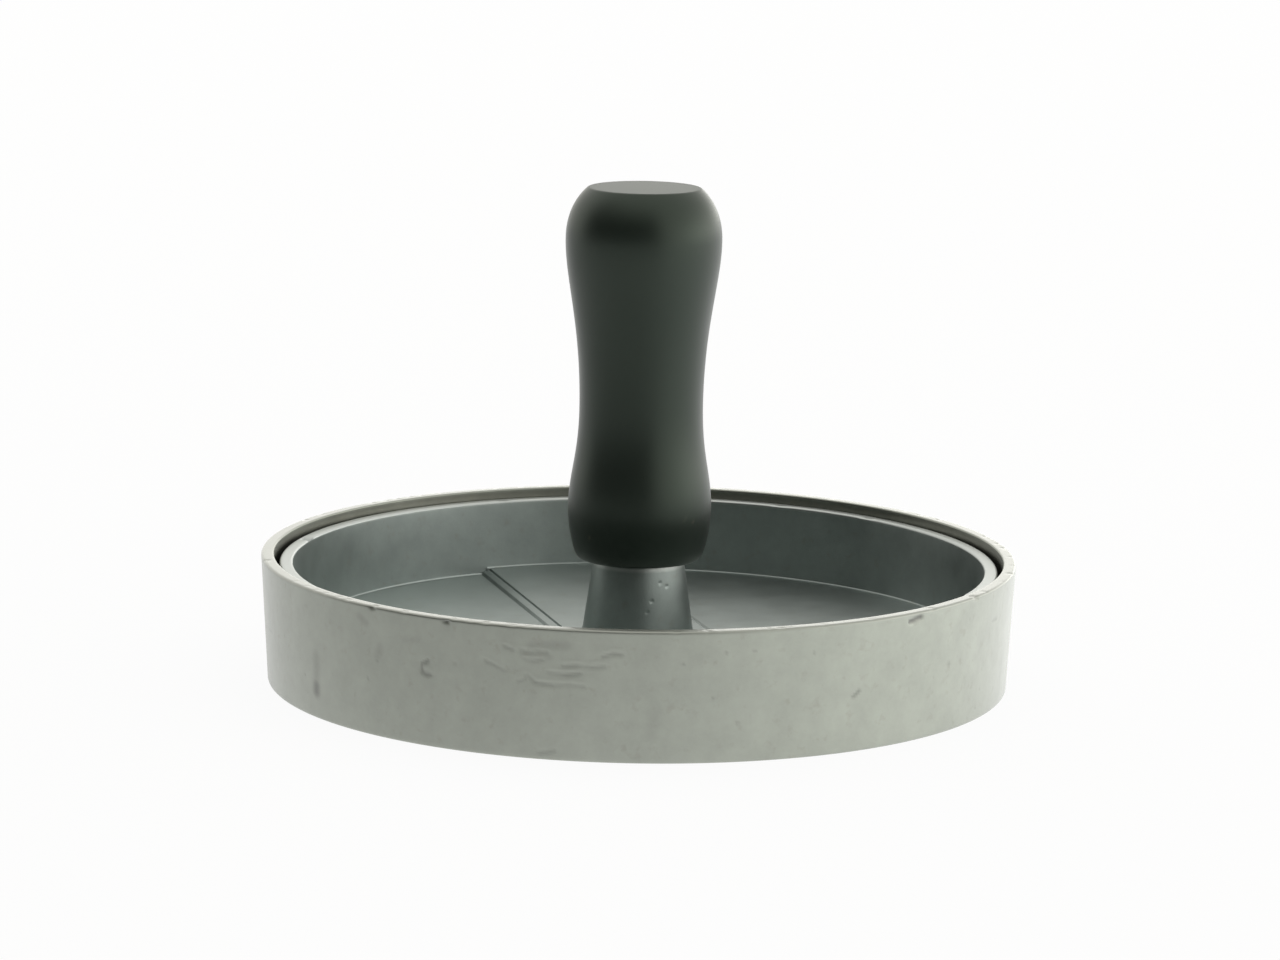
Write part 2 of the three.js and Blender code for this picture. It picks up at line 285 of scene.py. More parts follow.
# %% [markdown]
# Some marks are plain to see and have a fixed place: a group of folds, a burst blister, a few
# nicks and pits. Each place is an angle in degrees about the upright axis and a height in mm. A
# fold is a line through several places, so that it wanders as a real one does.

# %% Marks with a fixed place
FOLDS = [
    [(-122.6, 16.6), (-121.4, 16.4), (-120.2, 16.6), (-118.8, 16.5)],
    [(-122.2, 15.3), (-120.9, 15.1), (-119.4, 15.4)],
    [(-128.2, 14.5), (-126.6, 13.9), (-125.1, 13.2)],
    [(-116.6, 14.6), (-114.4, 14.8), (-112.5, 14.6), (-110.6, 14.8)],
    [(-123.2, 11.7), (-122.2, 12.1), (-121.8, 12.9)],
    [(-121.8, 12.9), (-120.6, 11.8), (-118.0, 11.6), (-115.6, 11.8), (-113.5, 11.6)],
    [(-110.9, 16.3), (-109.5, 16.8), (-108.2, 16.7)],
    [(-125.2, 17.0), (-123.9, 16.5)],
    [(-118.6, 13.5), (-116.2, 13.3), (-114.0, 13.6)],
]
FOOT_CREASE = ((-120.0, 1.0), (-117.8, 1.5), 0.55, 0.06)
NICKS = [
    ((-62.8, 18.9), (-60.5, 19.3), 0.6, 0.25), ((-134.7, 19.8), (-134.0, 19.7), 0.45, 0.2),
    ((-72.9, 8.6), (-71.9, 9.4), 0.5, 0.1), ((-46.6, 20.0), (-45.9, 19.9), 0.5, 0.2),
    ((-148.0, 19.9), (-147.4, 20.0), 0.5, 0.16),
]
BLISTER_EDGE = [(-137.5, 13.4), (-138.6, 12.7), (-138.6, 11.7), (-137.9, 11.1), (-137.1, 11.2)]
BLISTER_DOME = ((-137.9, 12.4), (-137.5, 12.2), 0.9, 0.08)
PITS = [
    (-149.0, 8.8), (-165.3, 6.2), (-147.0, 11.8), (-133.0, 13.4), (-99.4, 15.3),
    (-89.1, 17.0), (-93.3, 16.9), (-79.9, 16.1), (-95.0, 10.0), (-91.3, 6.1),
]
FOLD_HALF_WIDTH, FOLD_DEPTHS = 0.45, (0.04, 0.09)
LIP_RISE, LIP_SHARE = 0.55, 0.5
EDGE_HALF_WIDTH, EDGE_DEPTH = 0.5, 0.1
PIT_HALF_WIDTH, PIT_DEPTH = 0.45, 0.06
chance = random.Random(7)
lips = [BLISTER_DOME]
creases = [FOOT_CREASE]
marks = list(NICKS)
for fold in FOLDS:
    for (a0, h0), (a1, h1) in zip(fold, fold[1:]):
        depth = chance.uniform(*FOLD_DEPTHS)
        creases.append(((a0, h0), (a1, h1), FOLD_HALF_WIDTH, depth))
        start, end = (a0, h0 + LIP_RISE), (a1, h1 + LIP_RISE)
        lips.append((start, end, FOLD_HALF_WIDTH, LIP_SHARE * depth))
for start, end in zip(BLISTER_EDGE, BLISTER_EDGE[1:]):
    marks.append((start, end, EDGE_HALF_WIDTH, EDGE_DEPTH))
for spot in PITS:
    marks.append((spot, spot, PIT_HALF_WIDTH, PIT_DEPTH))
print(len(creases), "strokes of folds,", len(lips), "of raised lips,", len(marks), "other marks")

# %% [markdown]
# The rest of the wall gets pits and folds by chance, and the rim gets fine nicks from years of
# use. The draws come from a fixed seed, so that every run makes the same ring. Then all the
# strokes are pressed in, and the lips beside the folds are lifted.

# %% Marks by chance, and all of them pressed in
# Angles and lengths are in degrees, heights, widths and depths in mm.
SPOTS = 45
SPOT_ANGLES, SPOT_HEIGHTS = (-60, 200), (1, 19.5)
SPOT_HALF_WIDTHS, SPOT_DEPTHS = (0.4, 0.6), (0.02, 0.07)
WRINKLES = 12
WRINKLE_ANGLES, WRINKLE_HEIGHTS, WRINKLE_LENGTHS = (-40, 190), (3, 18), (1, 6)
WRINKLE_SLANTS, WRINKLE_DEPTHS = (-0.4, 0.4), (0.03, 0.08)
RIM_NICKS = 70
RIM_NICK_ANGLES, RIM_NICK_LENGTHS = (-180, 180), (0.1, 0.8)
RIM_NICK_HALF_WIDTH, RIM_NICK_DEPTHS = 0.4, (0.02, 0.08)
for _ in range(SPOTS):
    spot = (chance.uniform(*SPOT_ANGLES), chance.uniform(*SPOT_HEIGHTS))
    marks.append((spot, spot, chance.uniform(*SPOT_HALF_WIDTHS), chance.uniform(*SPOT_DEPTHS)))
for _ in range(WRINKLES):
    start = (chance.uniform(*WRINKLE_ANGLES), chance.uniform(*WRINKLE_HEIGHTS))
    length, slant = chance.uniform(*WRINKLE_LENGTHS), chance.uniform(*WRINKLE_SLANTS)
    end = (start[0] + length, start[1] + slant)
    creases.append((start, end, FOLD_HALF_WIDTH, chance.uniform(*WRINKLE_DEPTHS)))
for _ in range(RIM_NICKS):
    angle, length = chance.uniform(*RIM_NICK_ANGLES), chance.uniform(*RIM_NICK_LENGTHS)
    start, end = (angle, RING_HEIGHT), (angle + length, RING_HEIGHT)
    marks.append((start, end, RIM_NICK_HALF_WIDTH, chance.uniform(*RIM_NICK_DEPTHS)))

worn_in = np.where(outer, stroke_depths(wall, on_wall(marks, RING_RIM_RADIUS)), 0)
folded = np.where(outer, stroke_depths(wall, on_wall(creases, RING_RIM_RADIUS)), 0)
lifted = np.where(outer, stroke_depths(wall, on_wall(lips, RING_RIM_RADIUS)), 0)
sunk = np.maximum(worn_in, folded)
press(ring, sunk)
press(ring, np.clip(lifted - sunk, 0, None), outwards=True)

# %% [markdown]
# Dirt stays behind in the marks and shows them dark. It could be painted by hand as vertex colour.
# Here the strokes are known already, so each vertex keeps a number for its dirt, in an attribute
# that the finish reads later. Stains on the wall, which have no depth, are put in the same way.

# %% Grime in the marks
STAINS = [
    ((-161.4, 9.6), (-161.8, 5.6), 1.8, 0.35), ((-161.8, 5.2), (-161.9, 4.3), 1.6, 0.9),
    ((-150.4, 18.2), (-149.0, 17.4), 1.0, 0.25), ((-61.9, 19.0), (-60.8, 19.3), 0.9, 1.0),
    ((-146.9, 12.6), (-146.4, 14.0), 1.2, 0.2), ((-121.0, 17.4), (-116.0, 17.7), 1.2, 0.25),
    ((-122.5, 16.0), (-118.5, 15.8), 0.9, 0.2), ((-138.4, 11.4), (-137.6, 11.3), 0.9, 0.5),
    ((-141.5, 16.0), (-139.0, 16.4), 1.0, 0.12), ((-104.0, 4.0), (-103.0, 8.0), 1.6, 0.1),
]


def grime(piece, shares):
    """Keeps how dirty each vertex is, from 0 to 1."""
    layer = piece.data.attributes.new("grime", "FLOAT", "POINT")
    layer.data.foreach_set("value", np.clip(shares, 0, 1).astype(np.float32))
    print(piece.name, "has grime at", int((shares > 0).sum()), "vertices")


DIRTIEST_DEPTH = 0.16
FOLD_DIRT = 0.8
stained = np.where(outer, stroke_depths(wall, on_wall(STAINS, RING_RIM_RADIUS)), 0)
soiled = np.maximum(worn_in, FOLD_DIRT * folded) / DIRTIEST_DEPTH
grime(ring, np.maximum(soiled, stained))
dress(ring, "mould_ring", "ring")

# %% [markdown]
# ## Presser
# The presser is one casting: a pan with an upright wall, a plate, a conical stem in the middle, a
# low band across its floor and a grid of ridges underneath, which score the meat. The pan and stem
# are turned from one profile. The band and the ridges are bars, joined on with Boolean modifiers,
# because they run straight across the round shape.

# %% Pan and stem
PRESSER_GAP = 0.8
PRESSER_RIM = 18.8
PRESSER_RIM_WIDTH = 2.1
PLATE_UNDERSIDE = 2.6
PAN_FLOOR = 6.6
PAN_LEAN = math.tan(math.radians(4.5))
STEM_FOOT_RADIUS = 9.0
STEM_TOP_RADIUS = 7.2
STEM_TOP = 19.2
HOLE_RADIUS = 3.25
HOLE_END = 9.7
HOLE_POINT = 7.75
HOLE_CHAMFER = 0.3


def presser_radius(height):
    return ring_foot_radius + height * WALL_LEAN - RING_WALL - PRESSER_GAP


pan_rim_radius = presser_radius(PRESSER_RIM) - PRESSER_RIM_WIDTH
pan_floor_radius = pan_rim_radius - (PRESSER_RIM - PAN_FLOOR) * PAN_LEAN
plate_heel = (presser_radius(PLATE_UNDERSIDE), PLATE_UNDERSIDE)
wall_top_outside = (presser_radius(PRESSER_RIM), PRESSER_RIM)
wall_top_inside = (pan_rim_radius, PRESSER_RIM)
wall_foot = (pan_floor_radius, PAN_FLOOR)
stem_foot = (STEM_FOOT_RADIUS, PAN_FLOOR)
stem_shoulder = (STEM_TOP_RADIUS, STEM_TOP)

presser = trace("presser_casting", [
    (0, PLATE_UNDERSIDE), plate_heel, wall_top_outside, wall_top_inside, wall_foot,
    stem_foot, stem_shoulder, (HOLE_RADIUS + HOLE_CHAMFER, STEM_TOP),
    (HOLE_RADIUS, STEM_TOP - HOLE_CHAMFER), (HOLE_RADIUS, HOLE_END), (0, HOLE_POINT),
])
round_corner(presser, plate_heel, cut=2.0, segments=6)
round_corner(presser, wall_top_outside, cut=0.45, segments=5)
round_corner(presser, wall_top_inside, cut=0.35, segments=5)
round_corner(presser, wall_foot, cut=0.3, segments=4)
round_corner(presser, stem_foot, cut=1.6, segments=6)
round_corner(presser, stem_shoulder, cut=0.15, segments=2)
split_edge(presser, stem_foot, stem_shoulder, cuts=56)
split_edge(presser, wall_top_outside, wall_top_inside, cuts=3)
split_edge(presser, wall_top_inside, wall_foot, cuts=8)
turn(presser, steps=360)
print("pan and stem vertices:", len(presser.data.vertices))

# %% [markdown]
# The presser's rim has small dents where it was knocked against the ring, and the stem has a few
# pits from casting. They are pressed in as the ring's marks are, into the extra rows of faces that
# the profile gave to rim, wall and stem. This comes before the bars are joined on, while the mesh
# is still an even grid that takes a small mark well.

# %% Dents and pits on the presser
# A dent is an angle and a depth, a pit an angle, a height and a depth.
RIM_DENTS = [
    (149.5, 0.4), (30.5, 0.12), (98.5, 0.12), (-40.5, 0.12), (-150.5, 0.15), (48.5, 0.1),
]
DENT_HALF_WIDTH = 1.1
DENT_REACH, DENT_DROP = 1.5, 0.2
DENT_SPAN = 0.3
STEM_PITS = [
    (-90.6, 13.8, 0.07), (-79.2, 16.6, 0.06), (-70.0, 16.0, 0.06), (-96.0, 12.1, 0.05),
    (60.0, 12.0, 0.05), (140.0, 15.0, 0.05),
]
STEM_PIT_HALF_WIDTH = 0.32
STEM_PIT_SPAN, STEM_PIT_RISE = 1, 0.1
STEM_MARGIN = 0.5

rim_strokes = [
    (
        (angle - DENT_SPAN, PRESSER_RIM), (angle + DENT_SPAN, PRESSER_RIM),
        DENT_HALF_WIDTH, depth,
    )
    for angle, depth in RIM_DENTS
]
wall, radius = unrolled(presser, pan_rim_radius)
on_rim = (radius > pan_floor_radius) & (radius < pan_rim_radius + DENT_REACH)
on_rim &= wall[:, 1] > PRESSER_RIM - DENT_DROP
dents = stroke_depths(wall, on_wall(rim_strokes, pan_rim_radius))
press(presser, np.where(on_rim, dents, 0))

stem_strokes = [
    (
        (angle, height), (angle + STEM_PIT_SPAN, height + STEM_PIT_RISE),
        STEM_PIT_HALF_WIDTH, depth,
    )
    for angle, height, depth in STEM_PITS
]
wall, radius = unrolled(presser, STEM_TOP_RADIUS)
on_stem = radius > STEM_TOP_RADIUS - STEM_MARGIN
on_stem &= radius < STEM_FOOT_RADIUS + STEM_MARGIN
pits = stroke_depths(wall, on_wall(stem_strokes, STEM_TOP_RADIUS))
press(presser, np.where(on_stem, pits, 0))

# %% [markdown]
# A low band crosses the floor under the stem, most likely a strip that was let into the mould. Its
# edge is a small step, a narrow sloping strip and a fine groove. Insetting and extruding faces of
# the floor would tear up its even rings of faces, so the band is a section of its own. It is
# extruded along the floor and joined with a Boolean modifier.

# %% Band across the floor
BAND_TOP = 7.5
BAND_REACH = 54.6
BAND_EDGE, BAND_ROOT = 12.75, 6.0
# Half of the section, from the root up, as mm from the middle and mm above the table.
band_side = [
    (BAND_EDGE, BAND_ROOT), (BAND_EDGE, 6.55), (12.7, PAN_FLOOR), (12.62, 6.66), (12.34, 7.0),
    (12.24, 7.06), (11.5, 7.32), (11.36, 7.34), (11.14, 7.08), (10.98, 7.46), (10.86, BAND_TOP),
]


def mirrored(side):
    """A whole section from its right half."""
    return side + [(-x, z) for x, z in reversed(side)]


def draw_out(piece, reach):
    """Fills a closed section and extrudes it along Y, from -reach to +reach in mm."""
    bpy.ops.mesh.select_all(action="SELECT")
    bpy.ops.mesh.edge_face_add()
    bpy.ops.transform.translate(value=(0, -reach * MM, 0))
    bpy.ops.mesh.extrude_region_move(TRANSFORM_OT_translate={"value": (0, 2 * reach * MM, 0)})
    bpy.ops.object.mode_set(mode="OBJECT")
    clean_up(piece)


def combine(piece, other, how, solver="MANIFOLD"):
    """Joins, cuts or trims the piece with another body, which is used up."""
    apply_modifier(piece, "BOOLEAN", object=other, operation=how, solver=solver)
    bpy.data.objects.remove(other)


band = trace("floor_band", mirrored(band_side), closed=True)
draw_out(band, BAND_REACH)
combine(presser, band, "UNION")
print("presser with its band:", len(presser.data.vertices), "vertices")

# %% [markdown]
# A small bead of metal runs along the wall's foot at both ends of the band, as a corner of the
# mould leaves it. It follows the round wall, so it is turned like the pan, and a bar trims it to
# the band's width. A bevel on the joined mesh would catch other edges as well.

# %% Beads at the ends of the band
BEAD = 0.3
BEAD_HOLLOW = 0.3 * BEAD
BEAD_ROOT = 2 * BEAD
BEAD_REACH = 11.6
BAR_BOTTOM, BAR_TOP, BAR_SPARE = 7, 8, 2
wall_at_band = pan_floor_radius + (BAND_TOP - PAN_FLOOR) * PAN_LEAN
bead = trace("band_bead", [
    (wall_at_band - BEAD, BAND_TOP - BEAD), (wall_at_band - BEAD, BAND_TOP),
    (wall_at_band - BEAD_HOLLOW, BAND_TOP + BEAD_HOLLOW), (wall_at_band, BAND_TOP + BEAD),
    (wall_at_band + BEAD_ROOT, BAND_TOP + BEAD), (wall_at_band + BEAD_ROOT, BAND_TOP - BEAD),
], closed=True)
turn(bead, steps=360)
bar_side = [(BEAD_REACH, BAR_BOTTOM), (BEAD_REACH, BAR_TOP)]
bar = trace("band_bar", mirrored(bar_side), closed=True)
draw_out(bar, BAND_REACH + BAR_SPARE)
combine(bead, bar, "INTERSECT")
print("beads:", len(bead.data.vertices), "vertices")
combine(presser, bead, "UNION")

# %% [markdown]
# Underneath, a grid of ridges scores the meat so that it cooks through. One ridge is an extruded
# section. It is copied three times, the four are copied and turned for the other direction, and a
# cone trims the ends to a round field. An Array modifier would copy them as well, but two plain
# copies are easier to follow.

# %% Ridges under the plate
RIDGE_SPACING = 22
RIDGES_EACH_WAY = 4
RIDGE_EDGE, RIDGE_ROOT, RIDGE_SPARE = 2.2, 3.1, 1
FIELD_MARGIN, FIELD_TAPER = 3, 2
FIELD_BOTTOM, FIELD_TOP = -1, 3
# Half of the section, from the root down to the ridge's foot.
ridge_side = [
    (RIDGE_EDGE, RIDGE_ROOT), (RIDGE_EDGE, 2.72), (1.85, 2.52), (1.5, 2.1), (0.74, 0.3),
    (0.6, 0.1), (0.38, 0.0),
]
field_radius = presser_radius(PLATE_UNDERSIDE) - FIELD_MARGIN
first_offset = -(RIDGES_EACH_WAY - 1) / 2 * RIDGE_SPACING

ridge_corners = [(x + first_offset, z) for x, z in mirrored(ridge_side)]
ridges = trace("ridges", ridge_corners, closed=True)
draw_out(ridges, field_radius + RIDGE_SPARE)
bpy.ops.object.mode_set(mode="EDIT")
bpy.ops.mesh.select_all(action="SELECT")
for _ in range(RIDGES_EACH_WAY - 1):
    bpy.ops.mesh.duplicate_move(TRANSFORM_OT_translate={"value": (RIDGE_SPACING * MM, 0, 0)})
bpy.ops.object.mode_set(mode="OBJECT")

bpy.ops.object.duplicate(linked=False)
cross_ridges = bpy.context.object
bpy.ops.object.mode_set(mode="EDIT")
bpy.ops.mesh.select_all(action="SELECT")
bpy.ops.transform.rotate(value=math.pi / 2, orient_axis="Z", center_override=(0, 0, 0))
bpy.ops.object.mode_set(mode="OBJECT")
combine(ridges, cross_ridges, "UNION")

field = trace("ridge_field", [
    (0, FIELD_BOTTOM), (field_radius - FIELD_TAPER, FIELD_BOTTOM), (field_radius, FIELD_TOP),
    (0, FIELD_TOP),
])
turn(field, steps=180)
combine(ridges, field, "INTERSECT")
combine(presser, ridges, "UNION")
clean_up(presser)
dress(presser, "presser", "presser")

# %% [markdown]
# ## Handle
# The handle is a smooth moulding with a belly for the palm, a waist and a flat-topped head. A few
# rings of vertices under a Subdivision Surface modifier would give a shape like it, but only near
# the right sizes. Here its side is a run of Bezier curves, the same that the CAD model follows,
# sampled finely and turned. Inside it has a recess for the spring washer and a pocket for the
# brass insert.

# %% Handle profile
HANDLE_FOOT = 19.5
FOOT_RADIUS = 9.4
HEEL_RADIUS, HEEL_RISE = 10.5, 1.7
BELLY_RADIUS, BELLY_RISE = 11.4, 6.3
NECK_RADIUS, NECK_RISE = 9.8, 16.5
HEAD_RADIUS, HEAD_DROP = 12.35, 8.2
TOP_RADIUS = 8.9
TOP_SLOPE = math.tan(math.radians(40))
heel_height = HANDLE_FOOT + HEEL_RISE
belly_height = heel_height + BELLY_RISE
neck_height = belly_height + NECK_RISE
top_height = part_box("handle")[1].z / MM
head_height = top_height - HEAD_DROP
shoulder_radius = (HEAD_RADIUS + TOP_RADIUS) / 2
shoulder_height = top_height - (shoulder_radius - TOP_RADIUS) * TOP_SLOPE
WASHER_TOP = 20.8
RECESS_RADIUS = 6.2
POCKET_RADIUS = 4.8
POCKET_TOP = 37.1
CURVE_POINTS = 24


def curve(*points):
    """Points along a Bezier curve, without its first."""
    found = []
    for i in range(1, CURVE_POINTS + 1):
        level = [Vector(point) for point in points]
        while len(level) > 1:
            level = [a.lerp(b, i / CURVE_POINTS) for a, b in zip(level, level[1:])]
        found.append(tuple(level[0]))
    return found


foot = (FOOT_RADIUS, HANDLE_FOOT)
heel = (HEEL_RADIUS, heel_height)
belly = (BELLY_RADIUS, belly_height)
neck = (NECK_RADIUS, neck_height)
head = (HEAD_RADIUS, head_height)
top = (TOP_RADIUS, top_height)
outline = [
    (0, POCKET_TOP), (POCKET_RADIUS, POCKET_TOP), (POCKET_RADIUS, WASHER_TOP),
    (RECESS_RADIUS, WASHER_TOP), (RECESS_RADIUS, HANDLE_FOOT), foot,
]
outline += curve(foot, ((FOOT_RADIUS + HEEL_RADIUS) / 2, HANDLE_FOOT), heel)
outline += curve(heel, heel, (BELLY_RADIUS, (heel_height + belly_height) / 2), belly)
outline += curve(
    belly, (BELLY_RADIUS, (2 * belly_height + neck_height) / 3),
    (NECK_RADIUS, (belly_height + neck_height) / 2), neck,
)
outline += curve(
    neck, (NECK_RADIUS, (neck_height + head_height) / 2),
    (HEAD_RADIUS, (neck_height + 3 * head_height) / 4), head,
)
outline += curve(
    head, (HEAD_RADIUS, (head_height + top_height) / 2), (shoulder_radius, shoulder_height), top
)
outline.append((0, top_height))
handle = trace("handle_moulding", outline)
round_corner(handle, top, cut=0.25, segments=3)
turn(handle, steps=220)
print("handle vertices:", len(handle.data.vertices))

# %% [markdown]
# A moulding this hard chips and scuffs where it is knocked. The few small scuffs near its foot are
# too shallow to show as shape, so they are kept as numbers on the vertices, like the ring's dirt.

# %% Scuffs on the handle
SCUFFS = [
    ((-151.4, 23.7), (-150.2, 24.2), 0.3, 0.6), ((-58.4, 26.6), (-56.8, 26.9), 0.3, 0.6),
    ((-68.0, 27.2), (-66.0, 27.4), 0.3, 0.3), ((70.0, 30.0), (74.0, 31.0), 0.35, 0.6),
]
wall, radius = unrolled(handle, BELLY_RADIUS)
scuffed = stroke_depths(wall, on_wall(SCUFFS, BELLY_RADIUS))
grime(handle, np.where(radius > FOOT_RADIUS, scuffed, 0))
dress(handle, "handle", "handle")

# %% [markdown]
# ## Screwed joint
# The stud is a length of M6 threaded rod, rolled between dies. A stack of turned grooves would
# look like a thread, but would not wind. So one pitch of the tooth's outline is carried up a helix
# by the Screw modifier. Both ends are cut off flat and closed, and a chamfered rod trims them to
# length.

# %% Stud
PITCH = 1.0
STUD_BOTTOM = 11.2
STUD_TOP = 34.8
CREST_RADIUS = 3.0
ROOT_RADIUS = 2.4
STUD_CHAMFER = 0.7
SPARE, SPARE_TURNS = 0.1, 2
TURN_STEPS = 36
turns = math.ceil((STUD_TOP - STUD_BOTTOM) / PITCH) + SPARE_TURNS
# One tooth, as radii in mm and shares of the pitch.
tooth = [
    (ROOT_RADIUS, 0), (ROOT_RADIUS, 0.14), (CREST_RADIUS, 0.46), (CREST_RADIUS, 0.6),
    (ROOT_RADIUS, 0.92), (ROOT_RADIUS, 1),
]
stud = trace("stud_thread", [
    (radius, STUD_BOTTOM + (share - 1) * PITCH) for radius, share in tooth
])
bpy.ops.object.mode_set(mode="OBJECT")
apply_modifier(
    stud, "SCREW", angle=2 * math.pi, screw_offset=PITCH * MM, iterations=turns,
    steps=TURN_STEPS, render_steps=TURN_STEPS, use_merge_vertices=False,
)
clean_up(stud)
bpy.ops.object.mode_set(mode="EDIT")
for height, keep_below in ((STUD_BOTTOM - SPARE, False), (STUD_TOP + SPARE, True)):
    bpy.ops.mesh.select_all(action="SELECT")
    bpy.ops.mesh.bisect(
        plane_co=(0, 0, height * MM), plane_no=(0, 0, 1), use_fill=True,
        clear_inner=not keep_below, clear_outer=keep_below,
    )
bpy.ops.object.mode_set(mode="OBJECT")
clean_up(stud)

end_radius = CREST_RADIUS - STUD_CHAMFER
rod_radius = CREST_RADIUS + SPARE / 2
chamfer = STUD_CHAMFER + SPARE / 2
rod = trace("stud_rod", [
    (0, STUD_BOTTOM), (end_radius, STUD_BOTTOM), (rod_radius, STUD_BOTTOM + chamfer),
    (rod_radius, STUD_TOP - chamfer), (end_radius, STUD_TOP), (0, STUD_TOP),
])
turn(rod, steps=72)
combine(stud, rod, "INTERSECT", solver="EXACT")
clean_up(stud)
dress(stud, "handle_stud", "handle")

# %% [markdown]
# The spring washer lies under the handle, in its recess, and keeps the screwed joint tight. It is
# coiled from square wire and split. Its slight twist is pressed flat when the handle is screwed
# down, so it is turned as a flat ring with rounded corners, and a thin block cuts the slit.

# %% Spring washer
WASHER_OUTSIDE = 5.9
WASHER_ROUNDING = 0.25
WASHER_SLIT = 1.2
BLOCK_HEIGHT = 10
washer_corners = [
    (HOLE_RADIUS, STEM_TOP), (WASHER_OUTSIDE, STEM_TOP),
    (WASHER_OUTSIDE, WASHER_TOP), (HOLE_RADIUS, WASHER_TOP),
]
washer = trace("split_washer", washer_corners, closed=True)
for corner in washer_corners:
    round_corner(washer, corner, cut=WASHER_ROUNDING, segments=3)
turn(washer, steps=96)
deselect_all()
bpy.ops.mesh.primitive_cube_add(size=1, location=(WASHER_OUTSIDE * MM, 0, STEM_TOP * MM))
slit = bpy.context.object
slit.dimensions = (2 * HOLE_RADIUS * MM, WASHER_SLIT * MM, BLOCK_HEIGHT * MM)
bpy.ops.object.transform_apply(location=True, rotation=True, scale=True)
combine(washer, slit, "DIFFERENCE")
dress(washer, "spring_washer", "washer")

# %% [markdown]
# ## Finishes
# Each finish starts from what the real surface is and how it was made. Image textures would need a
# map for each piece, so the patterns are procedural and lie in the object's own coordinates.
# Colours are written as sRGB hex values and turned to linear by one function. Pattern sizes are in
# millimetres.

# %% Tools for finishes
def linear(hex_colour):
    channels = [int(hex_colour[i:i + 2], 16) / 255 for i in (1, 3, 5)]
    return [c / 12.92 if c <= 0.04045 else ((c + 0.055) / 1.055) ** 2.4 for c in channels] + [1.0]


def add_node(tree, kind, inputs=None, **settings):
    """A node with its settings. An input is a value, or the output socket that feeds it."""
    node = tree.nodes.new(kind)
    for setting, value in settings.items():
        setattr(node, setting, value)
    for socket, value in (inputs or {}).items():
        if isinstance(value, bpy.types.NodeSocket):
            tree.links.new(value, node.inputs[socket])
        else:
            node.inputs[socket].default_value = value
    return node


def new_finish(name):
    finish = bpy.data.materials.new(name)
    finish.use_nodes = True
    finish.node_tree.nodes.clear()
    return finish, finish.node_tree


def per_mm(size):
    """A texture scale whose pattern repeats about every size in mm."""
    return 1 / (size * MM)


def coat(piece, finish):
    piece.data.materials.clear()
    piece.data.materials.append(finish)


print("half of full sRGB is", round(linear("#808080")[0], 3), "in linear light")

# %% [markdown]
# Ring and presser are cast aluminium. The ring has the skin that tumbling leaves: dull and finely
# grained, a little blotchy, with a thin film of oxide and oil that brightens it where it is seen
# at a slant. The presser is smoother, and so is the ring's inside, which the presser rubs. Both
# are worn bright along the rim. A plain metal shader would look like new sheet metal, so noise at
# several real sizes breaks up its colour, its roughness and its surface.

# %% Cast aluminium
BLOTCH_MM = 5
STAIN_MM = 1.8
# Tumbling leaves a grain of about 0.1 mm. It is drawn coarser, so that the picture can show it.
GRAIN_MM = 0.45
GRAIN_DEPTH = 0.04
WEAR_REACH, WEAR_FULL = 0.6, 0.1
WORN_ROUGHNESS = 0.48
DIRT_COVER = 0.7
OXIDE_IOR = 1.77


